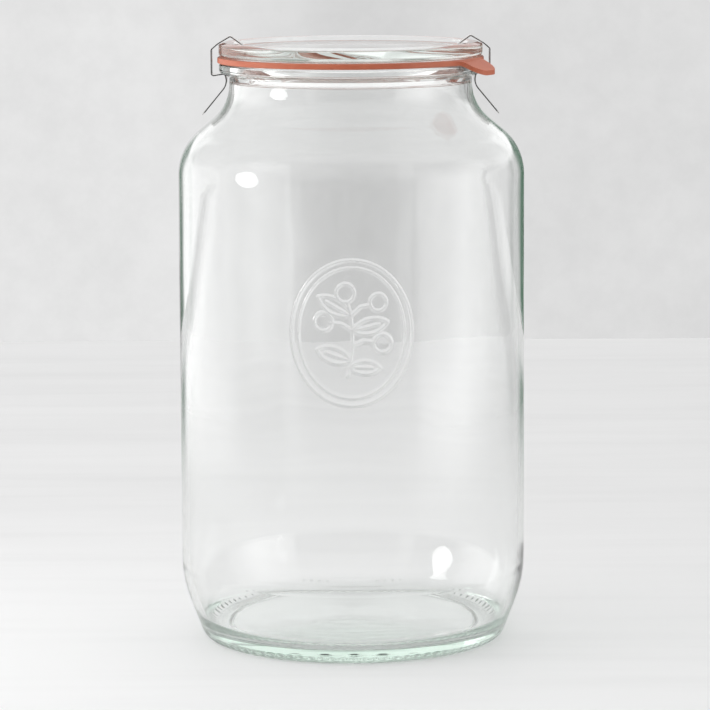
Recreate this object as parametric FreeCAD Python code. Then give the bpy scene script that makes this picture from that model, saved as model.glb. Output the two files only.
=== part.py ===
"""Glass canning jar with a flat glass lid, a rubber sealing ring and two spring clips.

Frame: millimetres, +Z up, origin at the centre of the ring that the jar stands on. The clips
hook over the lid at +X and -X, and the ring's pull tab points to the front right.

The jar, the lid and the ring are turned about Z from half-section outlines, each a row of
corners (radius, height, rounding) joined by straight runs with a tangent arc at each corner.
The clips and the tab are strips that follow such a row of corners at an even thickness.
"""
import FreeCAD, Part
import math
import os

V = FreeCAD.Vector

# --- Jar -------------------------------------------------------------------------------
TOTAL_HEIGHT = 248.0          # standing face to the crown of the lid
BODY_DIAMETER = 143.2
WALL = 2.5                    # straight wall of the body
FLOOR_THICKNESS = 4.6
FLOOR_DOME = 1.4              # rise of the inner floor towards its centre
PUSH_UP = 1.6                 # underside of the floor above the standing ring
STANDING_RING_WIDTH = 4.5     # flat that touches the ground
STANDING_RING_ROUNDING = 1.2
HEEL_INSET = 9.3              # wall to the corner where the heel's slope meets the ground
HEEL_SLOPE = 20.5             # degrees from vertical
HEEL_BLEND_RADIUS = 50.0
HEEL_CORNER_RADIUS = 6.0
HEEL_THICKENING = 1.6         # extra glass behind the heel's slope
FLOOR_CORNER_RADIUS = 9.0
SHOULDER_RADIUS = 24.2
SHOULDER_SLOPE = 50.0         # degrees from vertical
MOUTH_DIAMETER = 94.0
NECK_WALL = 3.0
NECK_BLEND_RADIUS = 17.9
NECK_HEIGHT = 12.8            # underside of the flange to the corner above the shoulder

# --- Flange at the mouth -----------------------------------------------------------------
FLANGE_REACH = 4.2            # beyond the neck
FLANGE_HEIGHT = 4.1
FLANGE_LOWER_ROUNDING = 1.9
FLANGE_UPPER_ROUNDING = 0.8
FLANGE_ROOT_ROUNDING = 0.9

# --- Rubber ring -------------------------------------------------------------------------
RING_OVERHANG = 0.6           # beyond the flange
RING_THICKNESS = 2.3
RING_EDGE_ROUNDING = 0.4
RING_BORE_CLEARANCE = 0.2     # round the lid's plug
TAB_BEARING = -28.0           # degrees from +X
TAB_LENGTH = 9.2              # beyond the ring's edge
TAB_WIDTH = 18.0
TAB_THICKNESS = 1.7
TAB_TIP_ROUNDING = 6.5
TAB_ROOT_ROUNDING = 7.0
TAB_ROOT_OVERLAP = 0.3        # how deep the tab's blends run into the ring
TAB_DROOP = 26.0              # degrees below level
TAB_BEND_RADIUS = 4.0

# --- Lid ---------------------------------------------------------------------------------
LID_OVERHANG = 0.2            # beyond the flange
LID_RIM_HEIGHT = 6.0          # seat on the ring to the crown
LID_LOWER_ROUNDING = 1.9
LID_UPPER_ROUNDING = 0.8
CROWN_FALL = 0.9              # crown to the lid's upper outer edge
CROWN_BEVEL = 2.4             # lid's outer edge to the crown, on the level
CROWN_WIDTH = 3.5
CROWN_ROUNDING = 1.4
RECESS_BEVEL = 1.8            # crown to the recess, on the level
RECESS_DEPTH = 1.9
RECESS_ROUNDING = 0.8
PANEL_THICKNESS = 4.4
PLUG_CLEARANCE = 0.8          # lid's plug in the mouth
PLUG_DEPTH = 4.2              # below the seat on the ring
PLUG_WIDTH = 4.6
PLUG_ROUNDING = 1.3
PLUG_DRAFT = 20.0             # degrees from vertical, inner face of the plug

# --- Spring clips ------------------------------------------------------------------------
CLIP_WIDTH = 9.0
CLIP_THICKNESS = 0.45
CLIP_SEAT_CLEARANCE = 0.12    # where a clip presses on the glass
CLIP_CORNER_ROUNDING = 1.6    # corners at both ends of the strip
CLIP_TOE_INSET = 2.7          # recess edge to the end of the strip
CLIP_PEAK_HEIGHT = 2.6        # crown to the bend above it
CLIP_PEAK_INSET = 2.7         # lid's crown edge to the bend above it
CLIP_LEG_GAP = 2.4            # ring's edge to the middle of the upright leg
CLIP_KNEE_DROP = 1.9          # lid's upper edge to the top of the upright leg
CLIP_FOOT_DROP = 1.2          # underside of the flange to the leg's lower corner
CLIP_HOOK_INSET = 2.6         # flange edge to the bend that hooks under it
CLIP_WAIST_GAP = 1.1          # neck to the middle of the strip
CLIP_WAIST_HEIGHT = 5.2       # underside of the flange to the start of the tail
CLIP_TAIL_REACH = 9.9         # how far the tail stands out
CLIP_TAIL_DROP = 12.0
CLIP_BEND_RADIUS = 1.0
CLIP_WAIST_RADIUS = 6.0


class Radius:
    """Radii that fit one another, counted out from the mouth and in from the rims."""

    mouth = MOUTH_DIAMETER / 2
    neck = mouth + NECK_WALL
    flange = neck + FLANGE_REACH
    ring = flange + RING_OVERHANG
    lid = flange + LID_OVERHANG
    crown_outer = lid - CROWN_BEVEL
    crown_inner = crown_outer - CROWN_WIDTH
    recess = crown_inner - RECESS_BEVEL
    plug = mouth - PLUG_CLEARANCE
    ring_bore = plug + RING_BORE_CLEARANCE
    body = BODY_DIAMETER / 2
    bore = body - WALL


class Level:
    """Heights of the seats, counted down from the crown of the lid."""

    crown = TOTAL_HEIGHT
    lid_edge = crown - CROWN_FALL
    recess = crown - RECESS_DEPTH
    ring_top = crown - LID_RIM_HEIGHT
    flange_top = ring_top - RING_THICKNESS
    flange_low = flange_top - FLANGE_HEIGHT
    neck_corner = flange_low - NECK_HEIGHT


def cotangent(degrees):
    """Rise of a line for each unit that it runs sideways, at an angle from vertical."""
    return 1 / math.tan(math.radians(degrees))


def corner_arc(before, corner, after, rounding):
    """Start, middle and end of the tangent arc that rounds one corner."""
    to_before = (before - corner).normalize()
    to_after = (after - corner).normalize()
    half_angle = to_before.getAngle(to_after) / 2
    setback = rounding / math.tan(half_angle)
    bisector = (to_before + to_after).normalize()
    centre = corner + bisector * (rounding / math.sin(half_angle))
    return corner + to_before * setback, centre - bisector * rounding, corner + to_after * setback


def with_room(corners, closed):
    """Corners with each rounding held to what the straight runs beside it have room for."""
    points = [V(x, 0, z) for x, z, rounding in corners]
    count = len(points)
    setbacks = [0.0] * count
    inner = range(count) if closed else range(1, count - 1)
    for index in inner:
        to_before = points[index - 1] - points[index]
        to_after = points[(index + 1) % count] - points[index]
        setbacks[index] = corners[index][2] / math.tan(to_before.getAngle(to_after) / 2)
    shares = [1.0] * count
    for index in range(count if closed else count - 1):
        following = (index + 1) % count
        needed = setbacks[index] + setbacks[following]
        length = points[index].distanceToPoint(points[following])
        if needed > length:
            shares[index] = min(shares[index], length / needed)
            shares[following] = min(shares[following], length / needed)
    return [(x, z, rounding * share) for (x, z, rounding), share in zip(corners, shares)]


def rounded_wire(corners):
    """Closed wire in the XZ plane through (x, z, rounding) corners."""
    corners = with_room(corners, closed=True)
    points = [V(x, 0, z) for x, z, rounding in corners]
    edges = []
    ends = []
    for index, (x, z, rounding) in enumerate(corners):
        here = points[index]
        if rounding:
            following = points[(index + 1) % len(points)]
            start, middle, end = corner_arc(points[index - 1], here, following, rounding)
            edges.append(Part.Arc(start, middle, end).toShape())
            ends.append((start, end))
        else:
            ends.append((here, here))
    for index, (start, end) in enumerate(ends):
        previous_end = ends[index - 1][1]
        if previous_end.distanceToPoint(start) > Part.Precision.confusion():
            edges.append(Part.LineSegment(previous_end, start).toShape())
    return Part.Wire(Part.sortEdges(edges)[0])


def turned_solid(corners):
    """Solid of revolution about Z of one half-section outline."""
    solid = Part.Face(rounded_wire(corners)).revolve(V(0, 0, 0), V(0, 0, 1), 360)
    return solid if solid.Volume > 0 else solid.reversed()


def beside(route, distance):
    """Row of corners at an even distance to the left of a route, with roundings to match."""
    points = [V(x, 0, z) for x, z, rounding in route]
    normals = []
    for start, end in zip(points, points[1:]):
        normals.append((end - start).normalize().cross(V(0, 1, 0)))
    corners = []
    for index, (x, z, rounding) in enumerate(route):
        before = normals[max(index - 1, 0)]
        after = normals[min(index, len(normals) - 1)]
        mitre = (before + after).normalize()
        point = points[index] + mitre * (distance / mitre.dot(after))
        turn = before.cross(after).y
        corners.append((point.x, point.z, rounding + math.copysign(distance, turn * distance) if rounding else 0))
    return corners


def strip(route, thickness, width):
    """Strip of even thickness that follows a route in the XZ plane, centred on Y = 0."""
    route = with_room(route, closed=False)
    left = beside(route, thickness / 2)
    right = beside(route, -thickness / 2)
    section = Part.Face(rounded_wire(left + right[::-1]))
    section.translate(V(0, -width / 2, 0))
    return section.extrude(V(0, width, 0))


def jar():
    """Jar in one piece: floor, heel, body, shoulder, neck and flange."""
    slope = cotangent(SHOULDER_SLOPE)
    heel_corner = Radius.body - HEEL_INSET
    heel_top = HEEL_INSET * cotangent(HEEL_SLOPE)
    heel_setback = HEEL_CORNER_RADIUS * math.tan(math.radians(90 - HEEL_SLOPE) / 2)
    ring_inner = heel_corner - heel_setback - STANDING_RING_WIDTH
    outside = [
        (ring_inner - STANDING_RING_ROUNDING, 0, STANDING_RING_ROUNDING),
        (heel_corner, 0, HEEL_CORNER_RADIUS),
        (Radius.body, heel_top, HEEL_BLEND_RADIUS),
        (Radius.body, Level.neck_corner - (Radius.body - Radius.neck) * slope, SHOULDER_RADIUS),
        (Radius.neck, Level.neck_corner, NECK_BLEND_RADIUS),
        (Radius.neck, Level.flange_low, FLANGE_ROOT_ROUNDING),
        (Radius.flange, Level.flange_low, FLANGE_LOWER_ROUNDING),
        (Radius.flange, Level.flange_top, FLANGE_UPPER_ROUNDING),
    ]
    floor = PUSH_UP + FLOOR_THICKNESS
    inner_neck_corner = Level.neck_corner - NECK_WALL * math.tan(math.radians(SHOULDER_SLOPE / 2))
    inner_shoulder_corner = inner_neck_corner - (Radius.bore - Radius.mouth) * slope
    inner_heel_top = heel_top + HEEL_THICKENING * cotangent(HEEL_SLOPE)
    inner_heel_corner = Radius.bore - (inner_heel_top - floor) / cotangent(HEEL_SLOPE)
    inside = [
        (Radius.mouth, Level.flange_top, FLANGE_UPPER_ROUNDING),
        (Radius.mouth, inner_neck_corner, NECK_BLEND_RADIUS + NECK_WALL),
        (Radius.bore, inner_shoulder_corner, SHOULDER_RADIUS - WALL),
        (Radius.bore, inner_heel_top, HEEL_BLEND_RADIUS - WALL - HEEL_THICKENING),
        (inner_heel_corner, floor, FLOOR_CORNER_RADIUS),
        (0, floor + FLOOR_DOME, 0),
    ]
    underside = [
        (0, PUSH_UP, 0),
        (ring_inner - STANDING_RING_ROUNDING - PUSH_UP, PUSH_UP, STANDING_RING_ROUNDING),
    ]
    return turned_solid(outside + inside + underside)


def lid():
    """Pressed glass lid: rim, crown, stacking recess, and the plug that centres it."""
    plug_low = Level.ring_top - PLUG_DEPTH
    plug_inner = Radius.plug - PLUG_WIDTH
    panel_low = Level.recess - PANEL_THICKNESS
    panel_edge = plug_inner - (panel_low - plug_low) / cotangent(PLUG_DRAFT)
    return turned_solid([
        (0, panel_low, 0),
        (panel_edge, panel_low, PLUG_ROUNDING),
        (plug_inner, plug_low, PLUG_ROUNDING),
        (Radius.plug, plug_low, PLUG_ROUNDING),
        (Radius.plug, Level.ring_top, 0),
        (Radius.lid, Level.ring_top, LID_LOWER_ROUNDING),
        (Radius.lid, Level.lid_edge, LID_UPPER_ROUNDING),
        (Radius.crown_outer, Level.crown, CROWN_ROUNDING),
        (Radius.crown_inner, Level.crown, CROWN_ROUNDING),
        (Radius.recess, Level.recess, RECESS_ROUNDING),
        (0, Level.recess, 0),
    ])


def tab_plan():
    """Level face of the pull tab's outline, pointing along +X, with blends into the ring."""
    seat = Radius.ring - TAB_ROOT_OVERLAP
    half = TAB_WIDTH / 2
    tip = Radius.ring + TAB_LENGTH
    blend_y = half + TAB_ROOT_ROUNDING
    blend_x = math.sqrt((seat + TAB_ROOT_ROUNDING) ** 2 - blend_y ** 2)
    centre = V(blend_x, blend_y, 0)
    root = centre * (seat / (seat + TAB_ROOT_ROUNDING))
    side = V(blend_x, half, 0)
    middle = centre + ((root - centre) + (side - centre)).normalize() * TAB_ROOT_ROUNDING
    turn = TAB_TIP_ROUNDING * math.sin(math.radians(45))
    tip_y = half - TAB_TIP_ROUNDING
    tip_x = tip - TAB_TIP_ROUNDING
    near = V(tip_x, half, 0)
    corner = V(tip_x + turn, tip_y + turn, 0)
    far = V(tip, tip_y, 0)
    half_edges = [
        Part.Arc(root, middle, side).toShape(),
        Part.LineSegment(side, near).toShape(),
        Part.Arc(near, corner, far).toShape(),
    ]
    other_half = [edge.mirror(V(0, 0, 0), V(0, 1, 0)) for edge in half_edges]
    closing = [
        Part.LineSegment(far, V(far.x, -far.y, 0)).toShape(),
        Part.LineSegment(root, V(root.x, -root.y, 0)).toShape(),
    ]
    return Part.Face(Part.Wire(Part.sortEdges(half_edges + other_half + closing)[0]))


def sealing_ring():
    """Flat rubber ring with a pull tab that droops from its edge."""
    ring = turned_solid([
        (Radius.ring_bore, Level.flange_top, RING_EDGE_ROUNDING),
        (Radius.ring, Level.flange_top, RING_EDGE_ROUNDING),
        (Radius.ring, Level.ring_top, RING_EDGE_ROUNDING),
        (Radius.ring_bore, Level.ring_top, RING_EDGE_ROUNDING),
    ])
    middle = (Level.flange_top + Level.ring_top) / 2
    bend = Radius.ring + TAB_BEND_RADIUS * math.tan(math.radians(TAB_DROOP / 2))
    end = Radius.ring + TAB_LENGTH + TAB_THICKNESS
    fall = (end - bend) * math.tan(math.radians(TAB_DROOP))
    route = [
        (Radius.ring_bore + RING_THICKNESS, middle, 0),
        (bend, middle, TAB_BEND_RADIUS),
        (end, middle - fall, 0),
    ]
    droop = strip(route, TAB_THICKNESS, 2 * Radius.ring)
    plan = tab_plan()
    plan.translate(V(0, 0, middle - fall - RING_THICKNESS))
    tab = droop.common(plan.extrude(V(0, 0, fall + 2 * RING_THICKNESS)))
    tab.rotate(V(0, 0, 0), V(0, 0, 1), TAB_BEARING)
    return ring.fuse(tab).Solids[0]


def clip():
    """Spring clip on the +X side: toe in the recess, leg outside the rim, hook and tail."""
    seat = CLIP_THICKNESS / 2 + CLIP_SEAT_CLEARANCE
    leg = Radius.ring + CLIP_LEG_GAP
    waist = Radius.neck + CLIP_WAIST_GAP
    waist_low = Level.flange_low - CLIP_WAIST_HEIGHT
    route = [
        (Radius.recess - CLIP_TOE_INSET, Level.recess + 2 * seat, 0),
        (Radius.crown_outer - CLIP_PEAK_INSET, Level.crown + CLIP_PEAK_HEIGHT, CLIP_BEND_RADIUS),
        (Radius.lid + seat / 2, Level.lid_edge + seat, 3 * CLIP_BEND_RADIUS),
        (leg, Level.lid_edge - CLIP_KNEE_DROP, CLIP_BEND_RADIUS),
        (leg, Level.flange_low - CLIP_FOOT_DROP, CLIP_BEND_RADIUS),
        (Radius.flange - CLIP_HOOK_INSET, Level.flange_low - seat, CLIP_BEND_RADIUS),
        (waist, Level.flange_low - CLIP_WAIST_HEIGHT / 2, 2 * CLIP_BEND_RADIUS),
        (waist, waist_low, CLIP_WAIST_RADIUS),
        (waist + CLIP_TAIL_REACH, waist_low - CLIP_TAIL_DROP, 0),
    ]
    blank = strip(route, CLIP_THICKNESS, CLIP_WIDTH)
    end_edges = [edge for edge in blank.Edges if abs(edge.Length - CLIP_THICKNESS) < 0.001]
    return blank.makeFillet(CLIP_CORNER_ROUNDING, end_edges).Solids[0]


def build():
    """Every piece in place, by node name."""
    right = clip()
    left = right.copy()
    left.rotate(V(0, 0, 0), V(0, 0, 1), 180)
    return {
        "jar": jar(),
        "lid": lid(),
        "ring": sealing_ring(),
        "clip_right": right,
        "clip_left": left,
    }


os.makedirs("parts", exist_ok=True)
for name, shape in build().items():
    shape.exportStep(f"parts/{name}.step")
    print(f"{name}: {shape.ShapeType}, valid {shape.isValid()}, {shape.Volume / 1000:.2f} cm3")
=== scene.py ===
"""A tall glass canning jar with its lid, rubber ring and two spring clips, dressed for a plain pale studio."""

import logging
import math
from dataclasses import dataclass, field
from enum import Enum
from typing import Sequence

import bpy
import numpy as np
from mathutils import Matrix, Vector


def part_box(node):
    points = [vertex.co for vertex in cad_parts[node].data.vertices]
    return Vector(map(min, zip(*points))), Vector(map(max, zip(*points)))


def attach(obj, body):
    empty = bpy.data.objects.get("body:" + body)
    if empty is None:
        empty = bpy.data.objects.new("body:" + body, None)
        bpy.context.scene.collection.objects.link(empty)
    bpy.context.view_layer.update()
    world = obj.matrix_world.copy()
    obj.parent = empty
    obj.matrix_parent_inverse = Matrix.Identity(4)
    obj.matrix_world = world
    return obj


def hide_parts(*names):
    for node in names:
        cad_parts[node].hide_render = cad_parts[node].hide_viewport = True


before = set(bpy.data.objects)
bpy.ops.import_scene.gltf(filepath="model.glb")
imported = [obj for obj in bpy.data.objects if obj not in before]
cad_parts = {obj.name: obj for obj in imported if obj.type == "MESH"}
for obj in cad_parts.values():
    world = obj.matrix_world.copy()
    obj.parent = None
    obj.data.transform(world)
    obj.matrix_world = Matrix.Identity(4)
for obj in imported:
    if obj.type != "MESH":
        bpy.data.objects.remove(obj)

LOG = logging.getLogger("glass_jar")
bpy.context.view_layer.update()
MM = 0.001
TINY = 1e-6  # two places nearer than this are one
FRONT_BEARING = -90.0
LIGHT_BOUNCES = 32
GLOSSY_BOUNCES = 24

Colour = tuple[float, float, float, float]
Corner = tuple[float, float, float]
Spot = tuple[float, float, float]
Point = tuple[float, float]
Span = tuple[float, float]


# ---- Shaders ----


class Value:
    """A number that varies over a surface: one socket of a shader, with Python's operators."""

    def __init__(self, shader: "Shader", socket: bpy.types.NodeSocket) -> None:
        """Keep the socket and the shader that it belongs to.

        Args:
            shader: the shader whose tree holds the socket.
            socket: the output socket that gives the number.
        """
        self.shader = shader
        self.socket = socket

    def math(self, operation: str, *others: "Value | float") -> "Value":
        """Add one Math node.

        Args:
            operation: the node's operation.
            others: what goes into its second socket, where it has one.

        Returns:
            The node's result.
        """
        inputs = dict(enumerate((self, *others)))
        return self.shader.node("ShaderNodeMath", {"operation": operation}, inputs)

    def __add__(self, other: "Value | float") -> "Value":
        """Sum."""
        return self.math("ADD", other)

    def __mul__(self, other: "Value | float") -> "Value":
        """Product."""
        return self.math("MULTIPLY", other)

    def __sub__(self, other: "Value | float") -> "Value":
        """Difference."""
        return self.math("SUBTRACT", other)

    def __truediv__(self, other: "Value | float") -> "Value":
        """Quotient."""
        return self.math("DIVIDE", other)

    def __pow__(self, other: "Value | float") -> "Value":
        """Power."""
        return self.math("POWER", other)

    def __neg__(self) -> "Value":
        """The number with its sign turned."""
        return self.math("MULTIPLY", -1.0)

    def __rsub__(self, other: float) -> "Value":
        """A plain number less this one."""
        return (-self).math("ADD", other)

    def __rtruediv__(self, other: float) -> "Value":
        """A plain number over this one."""
        return (self ** -1.0).math("MULTIPLY", other)

    __radd__ = __add__
    __rmul__ = __mul__

    def rise(self, start: float, end: float) -> "Value":
        """Smooth step.

        Args:
            start: where it leaves 0.
            end: where it reaches 1.

        Returns:
            A number from 0 to 1.
        """
        settings = {"interpolation_type": "SMOOTHSTEP"}
        inputs = {0: self, 1: start, 2: end, 3: 0.0, 4: 1.0}
        return self.shader.node("ShaderNodeMapRange", settings, inputs)

    def happened(self) -> "Value":
        """0 for a count of none, 1 for a count of one or more."""
        return self.rise(0.4, 0.6)


class Shader:
    """A material's or the world's node tree, built by one method for every node."""

    def __init__(self, owner: bpy.types.Material | bpy.types.World) -> None:
        """Clear the owner's tree.

        Args:
            owner: what the tree belongs to.
        """
        owner.use_nodes = True
        self.owner = owner
        self.tree = owner.node_tree
        self.tree.nodes.clear()

    def add(self, kind: str, settings: dict[str, object], inputs: dict[int | str, object]) -> bpy.types.Node:
        """Add a node.

        Args:
            kind: the node's type.
            settings: its properties, set before its sockets; a ramp's stops go under "stops".
            inputs: a value or a link for each socket, by its number or name.

        Returns:
            The node.
        """
        made = self.tree.nodes.new(kind)
        for name, setting in settings.items():
            if name == "stops":
                self.set_stops(made, setting)
            else:
                setattr(made, name, setting)
        for name, given in inputs.items():
            if isinstance(given, Value):
                self.tree.links.new(given.socket, made.inputs[name])
            else:
                made.inputs[name].default_value = given
        return made

    def node(
        self, kind: str, settings: dict[str, object], inputs: dict[int | str, object], output: int | str = 0
    ) -> Value:
        """Add a node and take one of its outputs.

        Args:
            kind: the node's type.
            settings: its properties.
            inputs: a value or a link for each socket.
            output: the output that is used.

        Returns:
            That output.
        """
        return Value(self, self.add(kind, settings, inputs).outputs[output])

    @staticmethod
    def set_stops(ramp: bpy.types.Node, stops: Sequence[tuple[float, tuple[float, ...]]]) -> None:
        """Give a colour ramp its stops.

        Args:
            ramp: the Color Ramp node.
            stops: place and colour of each stop.
        """
        elements = ramp.color_ramp.elements
        while len(elements) < len(stops):
            elements.new(1.0)
        for element, (place, colour) in zip(elements, stops):
            element.position = place
            element.color = colour

    def noise(self, place: Value, scale: float, detail: float = 2.0, roughness: float = 0.5) -> Value:
        """Noise from 0 to 1 over a place given in metres.

        Args:
            place: the coordinate.
            scale: features in a metre.
            detail: octaves.
            roughness: how much the finer octaves count.

        Returns:
            The noise.
        """
        inputs = {"Vector": place, "Scale": scale, "Detail": detail, "Roughness": roughness}
        return self.node("ShaderNodeTexNoise", {}, inputs)

    def place(self, source: str = "Object") -> Value:
        """Coordinate over the piece: "Object" in metres."""
        return self.node("ShaderNodeTexCoord", {}, {}, source)

    def stretched(self, place: Value, scale: Spot) -> Value:
        """The coordinate with each axis scaled."""
        return self.node("ShaderNodeVectorMath", {"operation": "MULTIPLY"}, {0: place, 1: scale})

    def axis(self, place: Value, name: str) -> Value:
        """One axis of a coordinate."""
        return self.node("ShaderNodeSeparateXYZ", {}, {0: place}, name)

    def blend(self, amount: Value | float, first: object, second: object) -> Value:
        """Mix of two colours.

        Args:
            amount: 0 gives the first, 1 the second.
            first: a colour or a link.
            second: a colour or a link.

        Returns:
            The colour.
        """
        settings = {"data_type": "RGBA"}
        return self.node("ShaderNodeMix", settings, {"Factor": amount, 6: first, 7: second}, 2)

    def ray(self, name: str) -> Value:
        """One output of Light Path."""
        return self.node("ShaderNodeLightPath", {}, {}, name)

    def bump(self, height: Value, distance: float, strength: float = 1.0) -> Value:
        """Normal of a surface with this relief.

        Args:
            height: relief from 0 to 1.
            distance: metres from 0 to 1.
            strength: how far the normal follows.

        Returns:
            The normal.
        """
        inputs = {"Strength": strength, "Distance": distance, "Height": height}
        return self.node("ShaderNodeBump", {}, inputs)

    def either(self, amount: Value, first: Value, second: Value) -> Value:
        """Mix of two shaders.

        Args:
            amount: 0 gives the first, 1 the second.
            first: a shader.
            second: a shader.

        Returns:
            The mixed shader.
        """
        return self.node("ShaderNodeMixShader", {}, {0: amount, 1: first, 2: second})

    def clear(self, colour: Colour) -> Value:
        """Shader that lets light straight through, in one colour."""
        return self.node("ShaderNodeBsdfTransparent", {}, {"Color": colour})

    def skin(self, inputs: dict[int | str, object]) -> Value:
        """Principled shader with these sockets."""
        return self.node("ShaderNodeBsdfPrincipled", {}, inputs)

    def finish(self, surface: Value, volume: Value | None = None) -> None:
        """Link the output.

        Args:
            surface: the surface's shader.
            volume: the shader of what is inside, where there is one.
        """
        is_world = isinstance(self.owner, bpy.types.World)
        kind = "ShaderNodeOutputWorld" if is_world else "ShaderNodeOutputMaterial"
        inputs = {"Surface": surface} if volume is None else {"Surface": surface, "Volume": volume}
        self.add(kind, {}, inputs)


def grey(level: float) -> Colour:
    """Neutral colour of one level."""
    return (level, level, level, 1.0)


@dataclass(frozen=True)
class ClearGlass:
    """Pressed soda-lime glass, faintly green where it is thick."""

    name: str
    tint: Colour = (0.2, 0.58, 0.36, 1.0)
    density: float = 3.8
    index: float = 1.5
    ripple: float = 0.00006
    ripple_scale: float = 38.0
    ripple_stretch: Spot = (1.0, 1.0, 0.45)
    peel_scale: float = 240.0
    peel_share: float = 0.05
    shade: Colour = (0.975, 0.985, 0.98, 1.0)

    def material(self) -> bpy.types.Material:
        """Build the finish.

        Returns:
            The material, which lets the lamps' light through to what stands behind.
        """
        material = bpy.data.materials.new(self.name)
        shader = Shader(material)
        place = shader.place()
        ripples = shader.noise(shader.stretched(place, self.ripple_stretch), self.ripple_scale, 1.5)
        orange_peel = shader.noise(place, self.peel_scale)
        glass = shader.skin({
            "Base Color": grey(1.0),
            "Roughness": 0.0,
            "IOR": self.index,
            "Transmission Weight": 1.0,
            "Normal": shader.bump(ripples + orange_peel * self.peel_share, self.ripple),
        })
        surface = shader.either(shader.ray("Is Shadow Ray"), glass, shader.clear(self.shade))
        inside = shader.node("ShaderNodeVolumeAbsorption", {}, {"Color": self.tint, "Density": self.density})
        shader.finish(surface, inside)
        return material


@dataclass(frozen=True)
class SealRubber:
    """Natural rubber, terracotta, matt with a fine mould texture and a trace of dust; where the lid covers it,
    a painted reflection of the glass pales it.
    """

    name: str
    colour: Colour = (0.52, 0.125, 0.06, 1.0)
    pale: Colour = (0.60, 0.18, 0.095, 1.0)
    painted_glass_reflection: Colour = (0.80, 0.71, 0.66, 1.0)
    dusty: Colour = (0.86, 0.62, 0.5, 1.0)
    cloud_scale: float = 90.0
    cloud_amount: float = 0.55
    grain_scale: float = 2600.0
    grain_depth: float = 0.00004
    dust_scale: float = 900.0
    dust_amount: float = 0.1
    roughness: float = 0.42
    pressed_within: float = 0.0543
    pressed_edge: float = 0.0004
    painted_reflection_share: float = 0.2

    def material(self) -> bpy.types.Material:
        """Build the finish.

        Returns:
            The material.
        """
        material = bpy.data.materials.new(self.name)
        shader = Shader(material)
        place = shader.place()
        clouds = shader.noise(place, self.cloud_scale, 4.0, 0.6)
        grain = shader.noise(place, self.grain_scale, 3.0, 0.6)
        dust = shader.noise(place, self.dust_scale, 5.0, 0.7).rise(0.58, 0.75)
        colour = shader.blend(clouds.rise(0.3, 0.7) * self.cloud_amount, self.colour, self.pale)
        colour = shader.blend(dust * self.dust_amount, colour, self.dusty)
        # Where the lid covers the ring its colour is blended towards pale cream: a painted reflection of the
        # glass over the rubber.
        from_axis = (shader.axis(place, "X") ** 2.0 + shader.axis(place, "Y") ** 2.0) ** 0.5
        pressed = 1.0 - from_axis.rise(self.pressed_within - self.pressed_edge, self.pressed_within)
        colour = shader.blend(pressed * self.painted_reflection_share, colour, self.painted_glass_reflection)
        shader.finish(shader.skin({
            "Base Color": colour,
            "Roughness": self.roughness + clouds * 0.12 + dust * 0.1,
            "IOR": 1.52,
            "Subsurface Weight": 0.04,
            "Subsurface Radius": (0.004, 0.0012, 0.0006),
            "Subsurface Scale": 0.3,
            "Normal": shader.bump(grain + clouds * 0.6, self.grain_depth, 0.6),
        }))
        return material


@dataclass(frozen=True)
class SpringSteel:
    """Cold-rolled stainless strip: fine lines along the strip, a few faint handling marks."""

    name: str
    colour: Colour = (0.62, 0.61, 0.6, 1.0)
    handled: Colour = (0.45, 0.44, 0.43, 1.0)
    line_stretch: Spot = (60.0, 2600.0, 60.0)
    line_depth: float = 0.000006
    smear_scale: float = 160.0
    smear_amount: float = 0.35
    roughness: float = 0.22

    def material(self) -> bpy.types.Material:
        """Build the finish.

        Returns:
            The material.
        """
        material = bpy.data.materials.new(self.name)
        shader = Shader(material)
        place = shader.place()
        lines = shader.noise(shader.stretched(place, self.line_stretch), 1.0, 3.0, 0.6)
        smears = shader.noise(place, self.smear_scale, 3.0, 0.6).rise(0.4, 0.75)
        shader.finish(shader.skin({
            "Base Color": shader.blend(smears * self.smear_amount, self.colour, self.handled),
            "Metallic": 1.0,
            "Roughness": self.roughness + lines * 0.1 + smears * 0.08,
            "Normal": shader.bump(lines, self.line_depth, 0.5),
        }))
        return material


# ---- Turned meshes ----


def run_points(start: Point, end: Point, pieces: int) -> list[Point]:
    """Divide one straight run.

    Args:
        start: its first point.
        end: its last point, which is left out.
        pieces: how many equal pieces it gets.

    Returns:
        The first point of each piece.
    """
    shares = [piece / pieces for piece in range(pieces)]
    across, up = end[0] - start[0], end[1] - start[1]
    return [(start[0] + across * share, start[1] + up * share) for share in shares]


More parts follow.
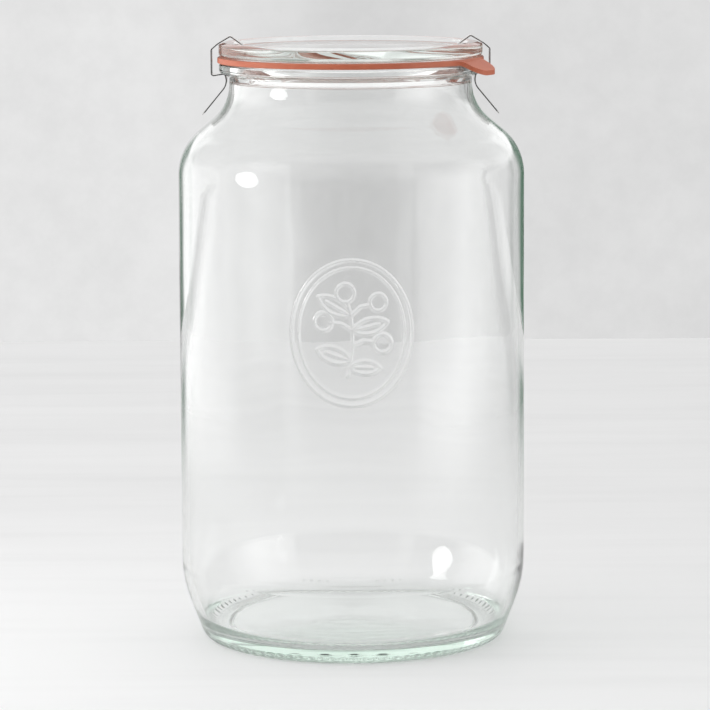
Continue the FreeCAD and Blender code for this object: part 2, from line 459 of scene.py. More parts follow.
@dataclass(frozen=True)
class Turning:
    """Rounded profile of a turned piece, sampled finely enough to read as smooth glass."""

    corners: Sequence[Corner]
    arc_step: float = 6.0
    fewest_arc_steps: int = 4
    run_step: float = 5.0

    def samples(self) -> list[Point]:
        """Sample the rounded profile.

        Returns:
            Radius and height of each sample, in millimetres, in order.
        """
        points: list[Point] = []
        last = len(self.corners) - 1
        for index, corner in enumerate(self.corners):
            if index in (0, last) or corner[2] == 0:
                points.append(corner[:2])
            else:
                points.extend(self.arc(self.corners[index - 1], corner, self.corners[index + 1]))
        return self.divided(points)

    def arc(self, before: Corner, corner: Corner, after: Corner) -> list[Point]:
        """Sample the arc that rounds one corner.

        Args:
            before: the corner before it.
            corner: the corner.
            after: the corner after it.

        Returns:
            The arc's samples.
        """
        here = Vector(corner[:2])
        back = (Vector(before[:2]) - here).normalized()
        ahead = (Vector(after[:2]) - here).normalized()
        half = back.angle(ahead) / 2
        centre = here + (back + ahead).normalized() * (corner[2] / math.sin(half))
        start = here + back * (corner[2] / math.tan(half)) - centre
        turn = math.pi - 2 * half
        if start.x * ahead.y - start.y * ahead.x < 0:
            turn = -turn
        steps = max(self.fewest_arc_steps, math.ceil(math.degrees(abs(turn)) / self.arc_step))
        points = []
        for step in range(steps + 1):
            angle = turn * step / steps
            cosine, sine = math.cos(angle), math.sin(angle)
            x = centre.x + start.x * cosine - start.y * sine
            y = centre.y + start.x * sine + start.y * cosine
            points.append((x, y))
        return points

    def divided(self, points: list[Point]) -> list[Point]:
        """Divide the long runs.

        Args:
            points: samples with long runs between them.

        Returns:
            Samples with no run over the run step.
        """
        rows: list[Point] = []
        for start, end in zip(points, points[1:]):
            length = math.hypot(end[0] - start[0], end[1] - start[1])
            if length >= TINY:
                rows.extend(run_points(start, end, max(1, math.ceil(length / self.run_step))))
        return [*rows, points[-1]]


class Lathe:
    """Mesh builder that turns rows of samples about the Z axis, each row with its own set of bearings."""

    def __init__(self, name: str) -> None:
        """Start an empty mesh.

        Args:
            name: the name of the object that it makes.
        """
        self.name = name
        self.verts: list[Spot] = []
        self.faces: list[tuple[int, ...]] = []

    def row(self, radius: float, height: float, bearings: np.ndarray, relief: np.ndarray) -> list[int]:
        """Add one row of points.

        Args:
            radius: its radius in millimetres, 0 for a single point on the axis.
            height: its height in millimetres.
            bearings: the angles of its points in degrees, from +X towards +Y.
            relief: outward relief of each point in millimetres.

        Returns:
            The numbers of its points.
        """
        first = len(self.verts)
        if radius < TINY:
            self.verts.append((0.0, 0.0, height * MM))
            return [first]
        angles = np.radians(bearings)
        reach = (radius + relief) * MM
        xs, ys = reach * np.cos(angles), reach * np.sin(angles)
        self.verts.extend(zip(xs.tolist(), ys.tolist(), [height * MM] * len(bearings)))
        return list(range(first, len(self.verts)))

    def band(
        self, low: list[int], high: list[int], low_bearings: np.ndarray, high_bearings: np.ndarray
    ) -> None:
        """Join two rows, one of which may hold more bearings than the other.

        Args:
            low: points of the row that comes first in the profile.
            high: points of the next row.
            low_bearings: bearings of the first row.
            high_bearings: bearings of the next row.
        """
        if len(low) == 1 or len(high) == 1:
            ring, pole = (high, low[0]) if len(low) == 1 else (low, high[0])
            for index, point in enumerate(ring):
                following = ring[(index + 1) % len(ring)]
                face = (pole, following, point) if len(low) == 1 else (point, following, pole)
                self.faces.append(face)
            return
        widening = len(low) <= len(high)
        coarse, fine = (low_bearings, high_bearings) if widening else (high_bearings, low_bearings)
        places = np.searchsorted(fine, coarse - TINY).tolist() + [len(fine)]
        for index in range(len(coarse)):
            after = (index + 1) % len(coarse)
            span = [number % len(fine) for number in range(places[index], places[index + 1] + 1)]
            if widening:
                face = [low[index], low[after]] + [high[number] for number in reversed(span)]
            else:
                face = [low[number] for number in span] + [high[after], high[index]]
            self.faces.append(tuple(face))

    def finish(self) -> bpy.types.Object:
        """Make the object, smooth all over.

        Returns:
            The object, linked to the scene.
        """
        mesh = bpy.data.meshes.new(self.name)
        mesh.from_pydata(self.verts, [], self.faces)
        mesh.validate()
        mesh.shade_smooth()
        made = bpy.data.objects.new(self.name, mesh)
        bpy.context.scene.collection.objects.link(made)
        return made


def even_bearings(count: int) -> np.ndarray:
    """Evenly spaced bearings in degrees from -180."""
    return np.arange(count) * (360.0 / count) - 180.0


# ---- Relief on the body ----


class Stroke:
    """Distances to the drawn lines of the medallion, in millimetres."""

    @staticmethod
    def ellipse(u: np.ndarray, v: np.ndarray, half_width: float, half_height: float) -> np.ndarray:
        """Distance to an upright oval.

        Args:
            u: place across.
            v: place up.
            half_width: half of its width.
            half_height: half of its height.

        Returns:
            Signed distance, negative inside.
        """
        level = np.sqrt((u / half_width) ** 2 + (v / half_height) ** 2)
        slope = np.sqrt((u / half_width ** 2) ** 2 + (v / half_height ** 2) ** 2)
        return (level - 1.0) * level / np.maximum(slope, TINY)

    @staticmethod
    def line(u: np.ndarray, v: np.ndarray, points: Sequence[Point]) -> np.ndarray:
        """Distance to a chain of straight runs.

        Args:
            u: place across.
            v: place up.
            points: the chain.

        Returns:
            Distance.
        """
        nearest = np.full(u.shape, np.inf)
        for (x0, y0), (x1, y1) in zip(points, points[1:]):
            dx, dy = x1 - x0, y1 - y0
            share = np.clip(((u - x0) * dx + (v - y0) * dy) / (dx * dx + dy * dy), 0.0, 1.0)
            nearest = np.minimum(nearest, np.hypot(u - x0 - share * dx, v - y0 - share * dy))
        return nearest

    @staticmethod
    def leaf(u: np.ndarray, v: np.ndarray, base: Point, tip: Point, fatness: float) -> np.ndarray:
        """Distance to a leaf's pointed outline.

        Args:
            u: place across.
            v: place up.
            base: where the leaf starts.
            tip: where it ends.
            fatness: its half width over its length.

        Returns:
            Signed distance, negative inside.
        """
        dx, dy = tip[0] - base[0], tip[1] - base[1]
        length = math.hypot(dx, dy)
        along = ((u - base[0]) * dx + (v - base[1]) * dy) / length - length / 2
        across = np.abs(((u - base[0]) * dy - (v - base[1]) * dx) / length)
        half, width = length / 2, fatness * length
        radius = (half * half + width * width) / (2 * width)
        side = np.hypot(along, across + radius - width) - radius
        point = np.hypot(np.abs(along) - half, across)
        beyond = (np.abs(along) > half) & (across < (np.abs(along) - half) * 2.0)
        return np.where(beyond, point, side)


@dataclass(frozen=True)
class Medallion:
    """Raised oval with a sprig of berries, pressed into the front of the body."""

    height: float = 136.5
    half_width: float = 24.5
    half_height: float = 29.0
    relief: float = 0.38
    line_width: float = 0.85
    rim_spacing: float = 3.0
    inner_rim_thinning: float = 0.18
    vein_thinning: float = 0.12
    vein_share: float = 0.75
    berry_swell: float = 0.3
    stem: Sequence[Point] = ((-1.5, -17.0), (-0.5, -11.0), (0.2, -5.0), (0.2, 1.0), (-0.4, 7.0), (-1.8, 12.5))
    twigs: Sequence[Sequence[Point]] = (
        ((0.2, -5.0), (4.5, -3.2), (9.0, -3.6)),
        ((0.2, 1.0), (-4.0, 3.6), (-8.2, 4.0)),
        ((-0.4, 7.0), (3.4, 10.4), (7.6, 11.2)),
    )
    berries: Sequence[Corner] = ((12.3, -4.2, 3.6), (-11.4, 4.6, 3.6), (10.6, 12.2, 3.3), (-2.6, 16.0, 3.6))
    leaves: Sequence[tuple[Point, Point, float]] = (
        ((-0.5, -11.0), (-14.0, -6.5), 0.21),
        ((-1.0, -13.5), (11.5, -14.0), 0.2),
        ((0.2, 1.0), (14.5, 4.4), 0.2),
        ((-0.4, 7.0), (-13.5, 14.5), 0.2),
    )

    def depth(self, u: np.ndarray, v: np.ndarray) -> np.ndarray:
        """Relief over the front of the body.

        Args:
            u: place across the front, in millimetres along the wall.
            v: height above the medallion's centre, in millimetres.

        Returns:
            Outward relief in millimetres.
        """
        rim = Stroke.ellipse(u, v, self.half_width, self.half_height)
        inner = (self.half_width - self.rim_spacing, self.half_height - self.rim_spacing)
        inner_rim = Stroke.ellipse(u, v, *inner)
        lines = [np.abs(rim), np.abs(inner_rim) + self.inner_rim_thinning, Stroke.line(u, v, self.stem)]
        lines += [Stroke.line(u, v, twig) for twig in self.twigs]
        for base, tip, fatness in self.leaves:
            outline = Stroke.leaf(u, v, base, tip, fatness)
            lines.append(np.abs(outline))
            rest = 1.0 - self.vein_share
            vein_end = (base[0] * rest + tip[0] * self.vein_share, base[1] * rest + tip[1] * self.vein_share)
            lines.append(Stroke.line(u, v, (base, vein_end)) + self.vein_thinning)
        raised = np.zeros(u.shape)
        for x, y, radius in self.berries:
            away = np.hypot(u - x, v - y)
            lines.append(np.abs(away - radius))
            swell = self.berry_swell * np.clip(1.0 - (away / radius) ** 2, 0.0, 1.0)
            raised = np.maximum(raised, swell)
        for line in lines:
            raised = np.maximum(raised, np.clip(1.0 - (line / self.line_width) ** 2, 0.0, 1.0) ** 1.5)
        return raised * self.relief


# ---- The jar's pieces ----


class Node(Enum):
    """The solids that the frame holds."""

    JAR = "jar"
    LID = "lid"
    RING = "ring"
    CLIP_RIGHT = "clip_right"
    CLIP_LEFT = "clip_left"


class Slot(Enum):
    """The record's material slots for the two pieces that replace a solid."""

    JAR_GLASS = "clear_glass"
    LID_GLASS = "lid_glass"


def top_of(node: Node) -> float:
    """Highest point of a solid, in millimetres."""
    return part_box(node.value)[1][2] / MM


def reach_of(node: Node) -> float:
    """How far a turned solid stands from the axis, in millimetres."""
    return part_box(node.value)[1][1] / MM


@dataclass(frozen=True)
class Wave:
    """One slow wave of the wall: its share, how often it goes round, its climb, and where it starts."""

    share: float
    count: int
    climb: float
    outer_start: float
    inner_start: float


@dataclass
class Jar:
    """Body of the jar: floor, heel, wall, shoulder, neck and flange in one pressed piece."""

    finish: ClearGlass
    wall: float = 2.5
    neck_radius: float = 50.0
    mouth_radius: float = 47.0
    flange_reach: float = 4.2
    flange_height: float = 4.1
    neck_height: float = 12.8
    root_rounding: float = 0.7
    flange_rounding: float = 1.3
    seat_rounding: float = 0.9
    seat_film: float = 0.06
    shoulder_slope: float = 50.0
    shoulder_rounding: float = 24.2
    neck_rounding: float = 17.9
    heel_inset: float = 9.3
    heel_slope: float = 20.5
    heel_rounding: float = 50.0
    heel_corner_rounding: float = 6.0
    heel_thickening: float = 0.5
    standing_ring: float = 4.5
    ring_rounding: float = 1.2
    push_up: float = 1.6
    floor: float = 4.6
    floor_dome: float = 1.4
    floor_rounding: float = 9.0
    box_margin: float = 0.03

    knurls: int = 90
    knurl_depth: float = 0.5
    knurl_height: float = 1.7
    knurl_spread: float = 1.3
    knurl_radius: float = 56.5

    waviness: float = 0.10
    outer_waves: float = 0.8
    inner_waves: float = 1.7
    wave_radius: float = 48.0
    wave_heights: Span = (8.0, 230.0)
    wave_start: Span = (6.0, 30.0)
    wave_end: Span = (232.0, 25.0)
    waves: Sequence[Wave] = (
        Wave(0.50, 2, 31.0, 0.0, 1.9),
        Wave(0.28, 5, -17.0, 0.7, 0.7),
        Wave(0.22, 9, 11.0, 2.1, 2.1),
    )

    mark_height: float = 36.2
    mark_relief: float = 0.22
    mark_groups: Sequence[float] = (-15.2, 14.4)
    marks_in_group: int = 4
    mark_spacing: float = 3.2
    mark_half_width: float = 0.65
    mark_half_height: float = 0.45

    dish_depth: float = 0.42
    dish_spread: Span = (38.0, 45.0)
    mark_dish_share: float = 1.15
    mark_dish_spread: Span = (40.0, 12.0)

    points_round: int = 360
    foot_points_round: int = 1080
    front_half_turn: int = 32
    front_points_per_degree: int = 6
    outer_wall_radius: float = 55.0
    foot_height: float = 9.0
    foot_step: float = 0.3
    medallion_step: float = 0.4
    mark_step: float = 0.25
    step_margin: float = 5.0
    medallion_margin: float = 2.0
    mark_margin: float = 1.5
    upright_within: float = 3.0
    medallion: Medallion = field(default_factory=Medallion)

    def corners(self) -> list[Corner]:
        """Corners of the whole section.

        Returns:
            Radius, height and rounding of each corner, up the outside and down the inside.
        """
        body = reach_of(Node.JAR) - self.box_margin
        top = top_of(Node.JAR)
        flange_low = top - self.flange_height
        neck_corner = flange_low - self.neck_height
        fall = 1 / math.tan(math.radians(self.shoulder_slope))
        lean = 1 / math.tan(math.radians(self.heel_slope))
        heel_corner = body - self.heel_inset
        heel_top = self.heel_inset * lean
        setback = self.heel_corner_rounding * math.tan(math.radians(90 - self.heel_slope) / 2)
        ring_inner = heel_corner - setback - self.standing_ring - self.ring_rounding
        floor = self.push_up + self.floor
        bore = body - self.wall
        neck_wall = self.neck_radius - self.mouth_radius
        inner_neck = neck_corner - neck_wall * math.tan(math.radians(self.shoulder_slope / 2))
        inner_heel_top = heel_top + self.heel_thickening * lean
        inner_heel = bore - (inner_heel_top - floor) / lean
        flange = self.neck_radius + self.flange_reach
        return [
            (0.0, self.push_up, 0.0),
            (ring_inner - self.push_up, self.push_up, self.ring_rounding),
            (ring_inner, 0.0, self.ring_rounding),
            (heel_corner, 0.0, self.heel_corner_rounding),
            (body, heel_top, self.heel_rounding),
            (body, neck_corner - (body - self.neck_radius) * fall, self.shoulder_rounding),
            (self.neck_radius, neck_corner, self.neck_rounding),
            (self.neck_radius, flange_low, self.root_rounding),
            (flange, flange_low, self.flange_rounding),
            (flange, top - self.seat_film, self.seat_rounding),
            (self.mouth_radius, top - self.seat_film, self.seat_rounding),
            (self.mouth_radius, inner_neck, self.neck_rounding + neck_wall),
            (bore, inner_neck - (bore - self.mouth_radius) * fall, self.shoulder_rounding - self.wall),
            (bore, inner_heel_top, self.heel_rounding - self.wall - self.heel_thickening),
            (inner_heel, floor, self.floor_rounding),
            (0.0, floor + self.floor_dome, 0.0),
        ]

    def wave(self, bearings: np.ndarray, height: float, inside: bool) -> np.ndarray:
        """Slow unevenness that pressing leaves in the wall.

        Args:
            bearings: angles in degrees.
            height: height in millimetres.
            inside: whether the row is on the inner face, which is less even.

        Returns:
            Relief in millimetres, never away from the axis.
        """
        turn = np.radians(bearings)
        strength = self.waviness * (self.inner_waves if inside else self.outer_waves)
        below = min(1.0, max(0.0, (height - self.wave_start[0]) / self.wave_start[1]))
        above = min(1.0, max(0.0, (self.wave_end[0] - height) / self.wave_end[1]))
        shape = np.zeros(bearings.shape)
        for wave in self.waves:
            start = wave.inner_start if inside else wave.outer_start
            shape = shape + wave.share * np.sin(wave.count * turn + height / wave.climb + start)
        return strength * (below * above) * (shape - 1.0) * 0.5

    def knurling(self, bearings: np.ndarray, radius: float, height: float) -> np.ndarray:
        """Fine upright ribs round the foot.

        Args:
            bearings: angles in degrees.
            radius: the row's radius in millimetres.
            height: the row's height in millimetres.

        Returns:
            Relief in millimetres, inwards.
        """
        fade = math.exp(-(((height - self.knurl_height) / self.knurl_spread) ** 4))
        fade = fade * (1.0 if radius > self.knurl_radius else 0.0)
        wave = 0.5 - 0.5 * np.cos(np.radians(bearings) * self.knurls)
        return -self.knurl_depth * fade * wave ** 1.5

    def mould_marks(self, across: np.ndarray, height: float) -> np.ndarray:
        """Two groups of four short raised marks low on the front.

        Args:
            across: place round the wall from the middle of the front, in millimetres.
            height: the row's height in millimetres.

        Returns:
            Relief in millimetres.
        """
        relief = np.zeros(across.shape)
        middle = (self.marks_in_group - 1) / 2
        for centre in self.mark_groups:
            for number in range(self.marks_in_group):
                away = np.abs(across - centre - (number - middle) * self.mark_spacing)
                relief = np.maximum(relief, np.clip(1.0 - (away / self.mark_half_width) ** 2, 0.0, 1.0))
        fade = max(0.0, 1.0 - ((height - self.mark_height) / self.mark_half_height) ** 2)
        return self.mark_relief * relief * fade

    def dish(self, across: np.ndarray, height: float) -> np.ndarray:
        """Shallow hollows under the medallion and the mould marks, which keep both within the wall's radius.

        Args:
            across: place round the wall from the middle of the front, in millimetres.
            height: the row's height in millimetres.

        Returns:
            Relief in millimetres, inwards.
        """
        wide, tall = self.dish_spread
        middle = (across / wide) ** 2 + ((height - self.medallion.height) / tall) ** 2
        wide, tall = self.mark_dish_spread
        low = (across / wide) ** 2 + ((height - self.mark_height) / tall) ** 2
        mark_dish = self.mark_dish_share * self.mark_relief * np.exp(-low ** 2)
        return -self.dish_depth * np.exp(-middle ** 3) - mark_dish

    def build(self) -> bpy.types.Object:
        """Turn the body and press its relief.

        Returns:
            The jar.
        """
        coarse = even_bearings(self.points_round)
        foot = even_bearings(self.foot_points_round)
        half = self.front_half_turn * self.front_points_per_degree
        fine = np.arange(-half, half + 1) / self.front_points_per_degree + FRONT_BEARING
        front = np.unique(np.round(np.concatenate([coarse, fine]), 6))
        body = reach_of(Node.JAR)
        lathe = Lathe("jar_glass")
        margin = self.medallion.half_height + self.medallion_margin
        relief_low, relief_high = self.medallion.height - margin, self.medallion.height + margin
        samples = self.refined(Turning(self.corners()).samples(), relief_low, relief_high)
        highest = max(range(len(samples)), key=lambda number: samples[number][1])
        lowest = min(range(len(samples)), key=lambda number: samples[number][1])
        previous: tuple[list[int], np.ndarray] | None = None
        for number, (radius, height) in enumerate(samples):
            outer_wall = lowest <= number <= highest and radius > self.outer_wall_radius
            marked = relief_low < height < relief_high or abs(height - self.mark_height) < self.mark_margin
            if outer_wall and height < self.foot_height:
                bearings = foot
            elif outer_wall and marked and radius > body - self.upright_within:
                bearings = front
            else:
                bearings = coarse
            across = np.radians(bearings - FRONT_BEARING) * body
            relief = np.zeros(bearings.shape)
            if outer_wall:
                relief = relief + self.knurling(bearings, radius, height)
                relief = relief + self.dish(across, height)
            if radius > self.wave_radius and self.wave_heights[0] < height < self.wave_heights[1]:
                relief = relief + self.wave(bearings, height, inside=number > highest)
            if bearings is front:
                above = np.full(across.shape, height - self.medallion.height)
                relief = relief + self.medallion.depth(across, above)
                relief = relief + self.mould_marks(across, height)
            points = lathe.row(radius, height, bearings, relief)
            if previous is not None:
                lathe.band(previous[0], points, previous[1], bearings)
            previous = (points, bearings)
        made = lathe.finish()
        made.data.materials.append(self.finish.material())
        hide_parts(Node.JAR.value)
        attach(made, "root")
        return made

    def refined(self, samples: list[Point], low: float, high: float) -> list[Point]:
        """Add rows where the outer wall carries relief.

        Args:
            samples: the profile's rows.
            low: lowest row of the medallion.
            high: highest row of the medallion.

        Returns:
            The rows with a fine spacing there.
        """
        highest = max(range(len(samples)), key=lambda number: samples[number][1])
        rows: list[Point] = []
        for number, (start, end) in enumerate(zip(samples, samples[1:])):
            middle = (start[1] + end[1]) / 2
            length = math.hypot(end[0] - start[0], end[1] - start[1])
            step = math.inf
            if number >= highest or start[0] < self.neck_radius:
                pass
            elif low - self.step_margin < middle < high + self.step_margin:
                step = self.medallion_step
            elif abs(middle - self.mark_height) < self.step_margin:
                step = self.mark_step
            elif middle < self.foot_height:
                step = self.foot_step
            rows.extend(run_points(start, end, max(1, math.ceil(length / step))))
        return [*rows, samples[-1]]


@dataclass
class Lid:
    """Pressed glass lid: rim, crown, stacking recess and the plug that centres it."""

    finish: ClearGlass
    rim_height: float = 6.0
    seat_film: float = 0.06
    crown_fall: float = 0.9
    crown_bevel: float = 2.4
    crown_width: float = 3.5
    recess_bevel: float = 1.8
    recess_depth: float = 1.9
    panel: float = 4.4
    plug_radius: float = 46.2
    plug_depth: float = 4.2
    plug_width: float = 4.6
    plug_draft: float = 20.0
    plug_rounding: float = 1.3
    plug_root_rounding: float = 0.35
    rim_low_rounding: float = 1.9
    rim_high_rounding: float = 0.8
    crown_rounding: float = 1.4
    recess_rounding: float = 0.8
    unevenness: float = 0.05
    even_within: float = 30.0
    points_round: int = 360

    def corners(self) -> list[Corner]:
        """Corners of the lid's section.

        Returns:
            Radius, height and rounding of each corner.
        """
        crown = top_of(Node.LID)
        rim = reach_of(Node.LID)
        seat = crown - self.rim_height
        plug_low = seat - self.plug_depth
        recess = crown - self.recess_depth
        panel_low = recess - self.panel
        plug_inner = self.plug_radius - self.plug_width
        panel_edge = plug_inner - (panel_low - plug_low) * math.tan(math.radians(self.plug_draft))
        crown_outer = rim - self.crown_bevel
        crown_inner = crown_outer - self.crown_width
        return [
            (0.0, panel_low, 0.0),
            (panel_edge, panel_low, self.plug_rounding),
            (plug_inner, plug_low, self.plug_rounding),
            (self.plug_radius, plug_low, self.plug_rounding),
            (self.plug_radius, seat + self.seat_film, self.plug_root_rounding),
            (rim, seat + self.seat_film, self.rim_low_rounding),
            (rim, crown - self.crown_fall, self.rim_high_rounding),
            (crown_outer, crown, self.crown_rounding),
            (crown_inner, crown, self.crown_rounding),
            (crown_inner - self.recess_bevel, recess, self.recess_rounding),
            (0.0, recess, 0.0),
        ]

    def build(self) -> bpy.types.Object:
        """Turn the lid.

        Returns:
            The lid.
        """
        lathe = Lathe("lid_glass")
        bearings = even_bearings(self.points_round)
        turn = np.radians(bearings)
        previous: list[int] | None = None
        for radius, height in Turning(self.corners()).samples():
            sag = self.unevenness * np.sin(3 * turn + height) * min(1.0, radius / self.even_within)
            points = lathe.row(radius, height, bearings, sag - self.unevenness)
            if previous is not None:
                lathe.band(previous, points, bearings, bearings)
            previous = points
        made = lathe.finish()
        made.data.materials.append(self.finish.material())
        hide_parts(Node.LID.value)
        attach(made, "root")
        return made


@dataclass
class SealRing:
    """Flat rubber ring with its pull tab, squeezed between the flange and the lid."""

    finish: SealRubber

    def build(self) -> bpy.types.Object:
        """Dress the ring's solid.

        Returns:
            The ring.
        """
        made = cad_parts[Node.RING.value]
        dress(made, self.finish.material())
        return made


@dataclass
class Clips:
    """The two spring clips that hold the lid down."""

    finish: SpringSteel

    def build(self) -> list[bpy.types.Object]:
        """Dress both clips' solids.

        Returns:
            The clips.
        """
        material = self.finish.material()
        made = [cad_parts[node.value] for node in (Node.CLIP_RIGHT, Node.CLIP_LEFT)]
        for clip in made:
            dress(clip, material)
        return made


def dress(piece: bpy.types.Object, material: bpy.types.Material) -> None:
    """Put one material on all of a piece.

    Args:
        piece: the piece.
        material: its finish.
    """
    if not piece.material_slots:
        piece.data.materials.append(material)
    for slot in piece.material_slots:
        slot.material = material


# ---- The studio ----


class LampShape(Enum):
    """Outline of a lamp's face."""

    SQUARED = "RECTANGLE"
    OVAL = "ELLIPSE"


@dataclass(frozen=True)
class Softbox:
    """One lamp: where it stands, what it faces, its size, how bright its face is, and if glass shows it."""

    name: str
    place: Spot
    aim: Spot
    width: float
    height: float
    level: float
    shown_in_glass: bool = False
    shape: LampShape = LampShape.SQUARED

    def build(self) -> bpy.types.Object:
        """Hang the lamp.

        Returns:
            The lamp.
        """
        light = bpy.data.lights.new(self.name, "AREA")
        light.shape = self.shape.value
        light.size = self.width
        light.size_y = self.height
        light.energy = self.level * math.pi * self.width * self.height
        lamp = bpy.data.objects.new(self.name, light)
        lamp.location = self.place
        facing = Vector(self.aim) - Vector(self.place)
        lamp.rotation_euler = facing.to_track_quat("-Z", "Y").to_euler()
        lamp.visible_camera = False
        lamp.visible_glossy = self.shown_in_glass
        lamp.visible_transmission = self.shown_in_glass
        bpy.context.scene.collection.objects.link(lamp)
        return lamp


@dataclass
class Studio:
    """Pale table and backdrop, soft lamps, and the dim room that the camera stands in."""

    table_back: float = 0.906
    table_half_width: float = 4.0
    table_span: float = 0.60
    wall_place: float = 2.3
    wall_half_width: float = 9.0
    wall_foot: float = -2.0
    wall_top: float = 5.0
    wall_reach: float = 0.42
    wall_level: float = 0.785
    brightest: float = 2.3
    shown_ground: float = 0.74
    ceiling: float = 0.78
    upper_wall: float = 1.1
    green_beyond: float = 155.0
    green_below: float = 0.1
    panels: Sequence[Point] = (
        (-180.0, 0.70), (-166.0, 0.6), (-163.0, 0.1), (-157.0, 0.1), (-152.0, 0.9), (-144.0, 1.4),
        (-128.0, 1.75), (-104.0, 1.95), (-92.0, 1.6), (-84.0, 0.9), (-78.0, 0.3), (-70.0, 0.08),
        (-46.0, 0.08), (-43.0, 0.7), (-35.0, 0.6), (-32.0, 0.2), (-22.0, 0.08), (0.0, 0.03),
        (42.0, 0.05), (45.0, 0.95), (56.0, 1.6), (72.0, 2.15), (80.0, 1.9), (90.0, 1.0),
        (106.0, 0.25), (130.0, 0.1), (140.0, 0.35), (150.0, 0.6), (158.0, 0.12), (170.0, 0.1),
        (174.0, 0.6), (180.0, 0.7),
    )

    def table(self) -> bpy.types.Object:
        """Lay the table top.

        Returns:
            The table.
        """
        side, back = self.table_half_width, self.table_back
        corners = [(-side, -side, 0.0), (side, -side, 0.0), (side, back, 0.0), (-side, back, 0.0)]
        made = self.sheet("table_top", corners)
        material = bpy.data.materials.new("pale_table")
        shader = Shader(material)
        place = shader.place()
        across = shader.axis(place, "X")
        away = shader.axis(place, "Y")
        veins = shader.noise(shader.stretched(place, (1.6, 7.0, 1.0)), 2.2, 4.0, 0.55).rise(0.25, 0.75)
        # Painted light: the table is lighter towards the front, most at the front left under the lamps at the
        # left, and darker behind and a little darker towards the front right.
        far = shader.blend(veins, grey(0.765), grey(0.795))
        painted_light_near = shader.blend(across.rise(-0.25, 0.3), grey(0.92), grey(0.83))
        colour = shader.blend(away.rise(0.34, -0.02), far, painted_light_near)
        streaks = shader.noise(shader.stretched(place, (1.2, 14.0, 1.0)), 3.0, 5.0, 0.6).rise(0.42, 0.72)
        colour = shader.blend(streaks * 0.055, colour, grey(0.4))
        skin = shader.skin({"Base Color": colour, "Roughness": 0.6, "Specular IOR Level": 0.1})
        span = (across ** 2.0 + away ** 2.0) ** 0.5
        ends = span.rise(self.table_span - 0.3, self.table_span + 0.25) * away.rise(0.8, 0.6)
        self.finish_staged(shader, skin, ends)
        made.data.materials.append(material)
        return made

    def wall(self) -> bpy.types.Object:
        """Stand the backdrop behind the table.

        Returns:
            The backdrop.
        """
        side, y, foot, top = self.wall_half_width, self.wall_place, self.wall_foot, self.wall_top
        made = self.sheet("back_wall", [(-side, y, foot), (side, y, foot), (side, y, top), (-side, y, top)])
        material = bpy.data.materials.new("pale_wall")
        shader = Shader(material)
        place = shader.place()
        across = shader.axis(place, "X")
        clouds = shader.noise(place, 9.0, 4.0, 0.55).rise(0.25, 0.75)
        fine = shader.noise(place, 34.0, 5.0, 0.65).rise(0.3, 0.7)
        # The backdrop glows with painted light: brightest at the left, dimmer from the middle on, a little
        # brighter again to the right, and much brighter high up, under a random mottling.
        level = self.wall_level - across.rise(-0.15, 0.01) * 0.115 + across.rise(0.01, 0.13) * 0.055
        painted_light_above = shader.axis(place, "Z").rise(0.36, 0.48) * 0.4
        mottled_painted_light = level * (1.035 - clouds * 0.045 - fine * 0.04) + painted_light_above
        skin = shader.node("ShaderNodeEmission", {}, {"Color": mottled_painted_light})
        sides = across.math("ABSOLUTE").rise(self.wall_reach, self.wall_reach + 0.08)
        self.finish_staged(shader, skin, sides)
        made.data.materials.append(material)
        return made

    @staticmethod
    def finish_staged(shader: Shader, skin: Value, ends: Value) -> None:
        """Link the surface of a staged sheet, which mirrored light passes through where it ends.

        Args:
            shader: the sheet's shader.
            skin: what the sheet looks like.
            ends: 1 where mirrored light finds no sheet.
        """
        mirrored = ends * shader.ray("Glossy Depth").happened()
        shader.finish(shader.either(mirrored, skin, shader.clear(grey(1.0))))

    @staticmethod
    def sheet(name: str, corners: Sequence[Spot]) -> bpy.types.Object:
        """Flat staged sheet.

        Args:
            name: its name.
            corners: its four corners in metres.

        Returns:
            The sheet.
        """
        mesh = bpy.data.meshes.new(name)
        mesh.from_pydata([Vector(corner) for corner in corners], [], [(0, 1, 2, 3)])
        made = bpy.data.objects.new(name, mesh)
        bpy.context.scene.collection.objects.link(made)
        return made

    def room(self) -> None:
        """Set the room: panels at the sides, dim behind the camera, and a pale ground seen through glass."""
        world = bpy.data.worlds.new("world_room")
        bpy.context.scene.world = world
        shader = Shader(world)
        bearing = shader.place("Generated")
        forwards = -shader.axis(bearing, "Y")
        turn = shader.axis(bearing, "X").math("ARCTAN2", forwards) / (2 * math.pi) + 0.5
        stops = [
            (degrees / 360 + 0.5, self.panel_colour(degrees, level / self.brightest))
            for degrees, level in self.panels
        ]
        sides = shader.node("ShaderNodeValToRGB", {"stops": stops}, {0: turn})
        height = shader.axis(bearing, "Z")
        behind = shader.axis(bearing, "Y").rise(0.3, 0.7) * height.rise(0.15, 0.2)
        sides = shader.blend(behind, sides, grey(self.upper_wall / self.brightest))
        room = shader.blend(height.rise(0.12, 0.62), sides, grey(self.ceiling / self.brightest))
        direct = shader.ray("Is Camera Ray") + shader.ray("Is Transmission Ray")
        bounced = shader.ray("Glossy Depth") + shader.ray("Diffuse Depth")
        shown = direct * (1.0 - bounced.happened())
        level = shader.blend(shown, room, grey(self.shown_ground / self.brightest))
        shader.finish(shader.node("ShaderNodeBackground", {}, {"Color": level, "Strength": self.brightest}))

    def panel_colour(self, degrees: float, level: float) -> Colour:
        """Colour of one stop of the panels.

        Args:
            degrees: its bearing.
            level: its brightness.

        Returns:
            Neutral, or a dim green far round at the back, where only thick edges look.
        """
        if abs(degrees) > self.green_beyond and level < self.green_below:
            return (level * 0.8, level * 1.5, level * 1.05, 1.0)
        return grey(level)

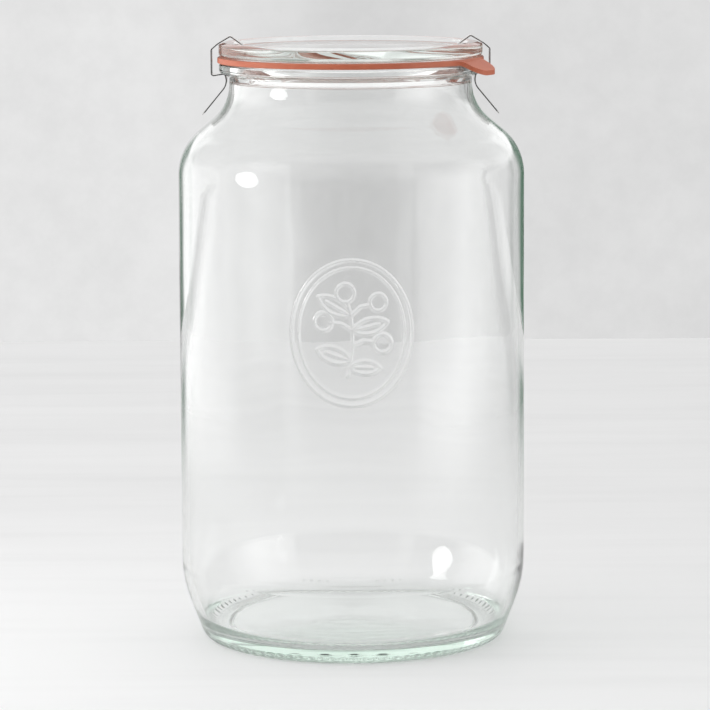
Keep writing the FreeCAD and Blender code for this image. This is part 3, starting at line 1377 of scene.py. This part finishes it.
    def lamps(self) -> list[bpy.types.Object]:
        """Hang the lamps.

        Returns:
            The lamps.
        """
        boxes = [
            Softbox("key", (-1.3, -0.3, 1.3), (0.0, 0.0, 0.1), 1.6, 1.6, 0.55),
            Softbox("overhead", (-0.3, 0.2, 2.4), (0.0, 0.2, 0.0), 3.2, 3.2, 0.08),
            Softbox("left_fill", (-1.6, -0.5, 0.4), (0.0, 0.0, 0.2), 0.8, 0.5, 4.0),
        ]
        aim = (0.0, 0.0, 0.19)
        window = Softbox("left_window", (-1.24, -0.40, 0.38), aim, 0.40, 0.44, 4.5, True, LampShape.OVAL)
        return [box.build() for box in (*boxes, window)]

    def build(self) -> list[bpy.types.Object]:
        """Build the whole studio.

        Returns:
            Its table, backdrop and lamps.
        """
        self.room()
        return [self.table(), self.wall(), *self.lamps()]


@dataclass(frozen=True)
class View:
    """Camera on a stand: slightly above the lid, looking a little down."""

    lens: float = 182.5
    pitch: float = 8.05
    roll: float = -0.30
    distance: float = 1.4985
    aim_height: float = 0.1178
    side: float = 0.0012
    sensor_width: float = 36.0
    nearest: float = 0.05
    farthest: float = 50.0

    def build(self) -> bpy.types.Object:
        """Set up the camera and make it the scene's.

        Returns:
            The camera.
        """
        camera = bpy.data.cameras.new("camera")
        camera.lens = self.lens
        camera.sensor_width = self.sensor_width
        camera.clip_start = self.nearest
        camera.clip_end = self.farthest
        made = bpy.data.objects.new("camera", camera)
        bpy.context.scene.collection.objects.link(made)
        down = math.radians(self.pitch)
        height = self.aim_height + self.distance * math.sin(down)
        place = Vector((self.side, -self.distance * math.cos(down), height))
        tilt = Matrix.Rotation(math.radians(90.0 - self.pitch), 4, "X")
        roll = Matrix.Rotation(math.radians(self.roll), 4, "Z")
        made.matrix_world = Matrix.Translation(place) @ (tilt @ roll)
        bpy.context.scene.camera = made
        return made


JAR_GLASS = ClearGlass("jar_glass_finish")
LID_GLASS = ClearGlass("lid_glass_finish", density=1.5, ripple=0.000015, shade=(0.62, 0.64, 0.63, 1.0))


def main() -> None:
    """Build every piece, then the studio and the camera."""
    logging.basicConfig(level=logging.INFO, format="%(name)s: %(message)s")
    jar = Jar(JAR_GLASS).build()
    LOG.info("jar: %d faces", len(jar.data.polygons))
    lid = Lid(LID_GLASS).build()
    LOG.info("lid: %d faces", len(lid.data.polygons))
    ring = SealRing(SealRubber("rubber_finish")).build()
    LOG.info("ring: %d faces", len(ring.data.polygons))
    for clip in Clips(SpringSteel("steel_finish")).build():
        LOG.info("%s: %d faces", clip.name, len(clip.data.polygons))
    staged = Studio().build()
    LOG.info("studio: %d objects", len(staged))
    View().build()
    scene = bpy.context.scene
    scene.view_settings.view_transform = "Standard"
    scene.cycles.max_bounces = LIGHT_BOUNCES
    scene.cycles.transmission_bounces = LIGHT_BOUNCES
    scene.cycles.glossy_bounces = GLOSSY_BOUNCES


if __name__ == "__main__":
    main()
